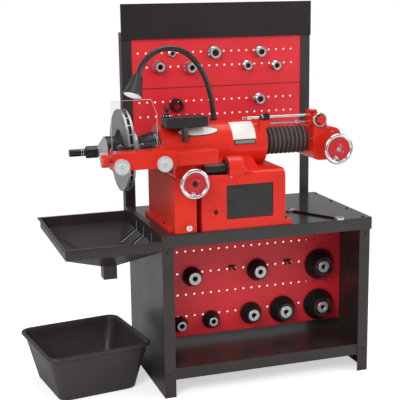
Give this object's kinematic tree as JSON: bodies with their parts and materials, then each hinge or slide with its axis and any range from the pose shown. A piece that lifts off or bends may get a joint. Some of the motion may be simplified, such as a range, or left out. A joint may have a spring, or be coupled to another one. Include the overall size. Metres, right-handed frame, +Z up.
{
  "type": "brake lathe",
  "caption": "Bench brake lathe with twin cutter, mounted rotor, chip hopper, chip bin, work lamp and a pegboard frame of adapters.",
  "frame": {"origin": "middle of the bottom of the whole part's bounding box, on the floor", "axes": "+Z up, +Y from the operator towards the rear frame, +X to the operator's right along the spindle, away from the arbor's tip"},
  "size_m": [1.3842, 0.7262, 1.518],
  "materials": {
    "bench_black": "gloss black powder coat",
    "board_red": "satin red powder coat",
    "bin_plastic": "moulded black",
    "machine_red": "gloss red enamel on a casting",
    "feed_dial_chrome": "polished, with a red knob in the looks",
    "tool_black": "satin black",
    "chrome": "polished plating",
    "steel": "machined",
    "dark_steel": "oiled black",
    "cast_iron": "turned",
    "rubber": "matt black",
    "neck_black": "ribbed sleeve",
    "dial_silver": "satin, graduated",
    "clear_plastic": "clear sheet",
    "adapter_black": "black oxide"
  },
  "bodies": {
    "bench": {"table_top": "bench_black", "left_side_panel": "bench_black", "right_side_panel": "bench_black", "bottom_shelf": "bench_black", "lower_pegboard": "board_red", "left_upright": "bench_black", "right_upright": "bench_black", "header_panel": "bench_black", "upper_pegboard": "board_red", "middle_pegboard": "board_red", "chip_hopper": "bench_black", "base_casting": "machine_red", "access_cover": "tool_black", "motor": "cast_iron", "drive_belt": "rubber", "trip_block": "dark_steel", "cross_feed_column": "machine_red", "boring_bar": "tool_black", "wrench": "chrome", "feed_shaft_sleeve": "dark_steel", "cone_adapter_1": "adapter_black", "cone_adapter_2": "adapter_black", "cone_adapter_3": "adapter_black", "cone_adapter_4": "adapter_black", "cone_adapter_5": "adapter_black", "bell_adapter_1": "adapter_black", "bell_adapter_2": "adapter_black", "bell_adapter_3": "adapter_black", "small_adapter_1": "adapter_black", "small_adapter_2": "adapter_black"},
    "feed_carriage": {"feed_gearbox": "machine_red", "trip_rod": "chrome", "stop_rod": "steel", "bellows": "rubber"},
    "spindle": {"spindle": "dark_steel", "arbor_nut": "dark_steel", "nose_cone": "chrome", "outer_bell_clamp": "tool_black", "inner_bell_clamp": "tool_black", "brake_rotor": "cast_iron"},
    "feed_wheel": {"feed_handwheel": "chrome"},
    "rate_dial": {"feed_rate_dial": "feed_dial_chrome"},
    "driven_pulley": {"spindle_pulley": "steel"},
    "motor_shaft": {"motor_pulley": "steel"},
    "cross_wheel": {"cross_handwheel": "chrome", "cross_feed_screw": "steel"},
    "cross_slide": {"cross_slide": "machine_red", "cutter_body": "machine_red"},
    "left_tool": {"left_tool_holder": "dark_steel"},
    "right_tool": {"right_tool_holder": "dark_steel"},
    "left_dial": {"left_tool_dial": "dial_silver"},
    "right_dial": {"right_tool_dial": "dial_silver"},
    "end_knob": {"cutter_knob": "machine_red"},
    "guard": {"clear_guard": "clear_plastic"},
    "lamp": {"lamp_gooseneck": "neck_black", "lamp_shade": "tool_black"},
    "bin": {"chip_bin": "bin_plastic"},
    "lock_pin": {"lock_pin": "chrome"},
    "bar_clamp": {"boring_bar_clamp": "dark_steel"},
    "bar_knob": {"boring_bar_knob": "chrome"}
  },
  "joints": [
    {"name": "spindle_feed", "type": "slide", "parent": "bench", "child": "feed_carriage", "axis": [-1, 0, 0], "range_m": [0, 0.11], "deforming": ["bellows"]},
    {"name": "spindle_spin", "type": "hinge", "parent": "feed_carriage", "child": "spindle", "pos_m": [-0.15194, -0.02625, 0.966], "axis": [1, 0, 0], "continuous": true},
    {"name": "feed_wheel_turn", "type": "hinge", "parent": "feed_carriage", "child": "feed_wheel", "pos_m": [0.56606, -0.17625, 0.938], "axis": [0, 1, 0], "range_deg": [0, 1584]},
    {"name": "feed_rate_turn", "type": "hinge", "parent": "feed_carriage", "child": "rate_dial", "pos_m": [0.49806, -0.14225, 1.056], "axis": [0, 1, 0], "range_deg": [-150, 150]},
    {"name": "driven_pulley_turn", "type": "hinge", "parent": "bench", "child": "driven_pulley", "pos_m": [-0.00394, -0.02625, 0.966], "axis": [1, 0, 0], "continuous": true},
    {"name": "motor_shaft_turn", "type": "hinge", "parent": "bench", "child": "motor_shaft", "pos_m": [-0.00394, -0.02625, 0.742], "axis": [1, 0, 0], "continuous": true},
    {"name": "cross_wheel_turn", "type": "hinge", "parent": "bench", "child": "cross_wheel", "pos_m": [-0.07794, -0.28625, 0.863], "axis": [0, 1, 0], "range_deg": [-2160, 5616]},
    {"name": "cross_feed", "type": "slide", "parent": "bench", "child": "cross_slide", "axis": [0, 1, 0], "range_m": [-0.03, 0.078]},
    {"name": "left_dial_turn", "type": "hinge", "parent": "cross_slide", "child": "left_dial", "pos_m": [-0.36894, -0.35225, 0.957], "axis": [0, 1, 0], "range_deg": [-900, 540]},
    {"name": "right_dial_turn", "type": "hinge", "parent": "cross_slide", "child": "right_dial", "pos_m": [-0.20994, -0.35225, 0.957], "axis": [0, 1, 0], "range_deg": [-900, 540]},
    {"name": "left_tool_set", "type": "slide", "parent": "cross_slide", "child": "left_tool", "axis": [1, 0, 0], "range_m": [-0.005, 0.003]},
    {"name": "right_tool_set", "type": "slide", "parent": "cross_slide", "child": "right_tool", "axis": [-1, 0, 0], "range_m": [-0.005, 0.003]},
    {"name": "end_knob_turn", "type": "hinge", "parent": "cross_slide", "child": "end_knob", "pos_m": [-0.41194, -0.30225, 0.974], "axis": [1, 0, 0], "range_deg": [-180, 180]},
    {"name": "guard_swing", "type": "hinge", "parent": "cross_slide", "child": "guard", "pos_m": [-0.30194, -0.28625, 1.0078], "axis": [1, 0, 0], "range_deg": [0, 85]},
    {"name": "lamp_swing", "type": "hinge", "parent": "bench", "child": "lamp", "pos_m": [0.09806, 0.00175, 1.06], "axis": [0, 0, 1], "range_deg": [-20, 20]},
    {"name": "bin_pull", "type": "slide", "parent": "bench", "child": "bin", "axis": [0, -1, 0], "range_m": [0, 0.4]},
    {"name": "lock_pin_pull", "type": "slide", "parent": "bench", "child": "lock_pin", "axis": [0, -1, 0], "range_m": [0, 0.02]},
    {"name": "bar_clamp_turn", "type": "hinge", "parent": "bench", "child": "bar_clamp", "pos_m": [-0.06294, -0.12625, 1.02], "axis": [0, 0, 1], "range_deg": [-180, 180]},
    {"name": "bar_knob_turn", "type": "hinge", "parent": "bench", "child": "bar_knob", "pos_m": [-0.12394, -0.09325, 1.11], "axis": [0, 0, 1], "range_deg": [-180, 180]}
  ],
  "couplings": [
    {"joint": "feed_wheel_turn", "follows": "spindle_feed", "rad_per_m": 251.33},
    {"joint": "driven_pulley_turn", "follows": "spindle_spin", "ratio": 1},
    {"joint": "motor_shaft_turn", "follows": "spindle_spin", "ratio": 2.4762},
    {"joint": "cross_wheel_turn", "follows": "cross_feed", "rad_per_m": 1256.6},
    {"joint": "left_dial_turn", "follows": "left_tool_set", "rad_per_m": 3141.6},
    {"joint": "right_dial_turn", "follows": "right_tool_set", "rad_per_m": 3141.6}
  ]
}
